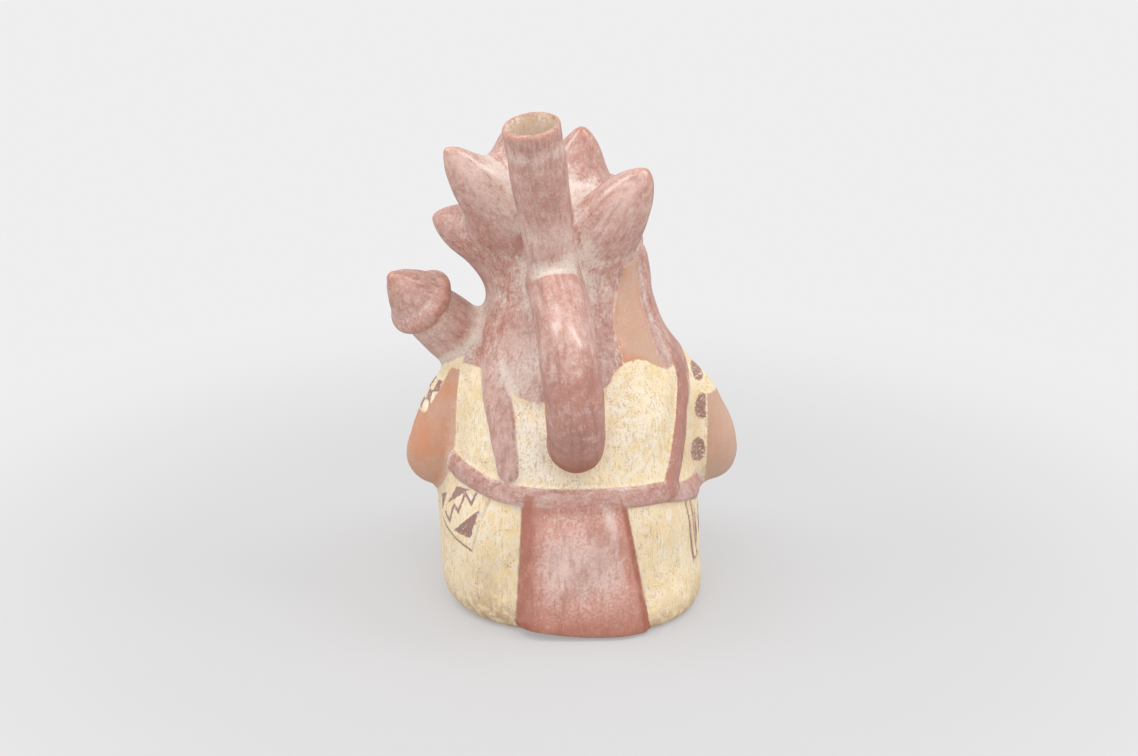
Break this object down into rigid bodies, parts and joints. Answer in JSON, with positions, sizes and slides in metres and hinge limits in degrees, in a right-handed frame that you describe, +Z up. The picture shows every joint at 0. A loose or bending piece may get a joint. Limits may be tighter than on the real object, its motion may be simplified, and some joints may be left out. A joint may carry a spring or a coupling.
{
  "type": "stirrup-spout bottle",
  "caption": "Hollow clay bottle shaped as a seated figure with a rayed headdress and a mace, with an arched stirrup handle and an upright spout on its back.",
  "frame": {"origin": "on the flat underside, below the middle of the waist", "axes": "+Z up, the figure faces -Y, its left side is +X, so the stirrup is on the +Y side"},
  "size_m": [0.143, 0.1374, 0.2083],
  "materials": {
    "cream_slip": "matt cream slip, abraded",
    "purple_slip": "burnished purplish red slip",
    "red_slip": "burnished red slip",
    "orange_clay": "burnished orange clay"
  },
  "bodies": {
    "root": {"body_rear_half": "cream_slip", "body_front_half": "cream_slip", "base_disc": "cream_slip", "stirrup_left_half": "purple_slip", "stirrup_right_half": "purple_slip", "spout": "purple_slip", "belt": "purple_slip", "head_band": "purple_slip", "backflap": "red_slip", "nape_panel": "purple_slip", "left_streamer": "purple_slip", "right_streamer": "purple_slip", "mace_head": "purple_slip", "mace_shaft": "purple_slip", "left_arm": "orange_clay", "right_arm": "orange_clay", "left_hand": "orange_clay", "right_hand": "orange_clay", "ray_left_low": "purple_slip", "ray_left_rear": "purple_slip", "ray_right_rear": "purple_slip", "ray_left_top": "purple_slip", "ray_right_top": "purple_slip", "ray_right_front": "purple_slip"}
  },
  "joints": []
}
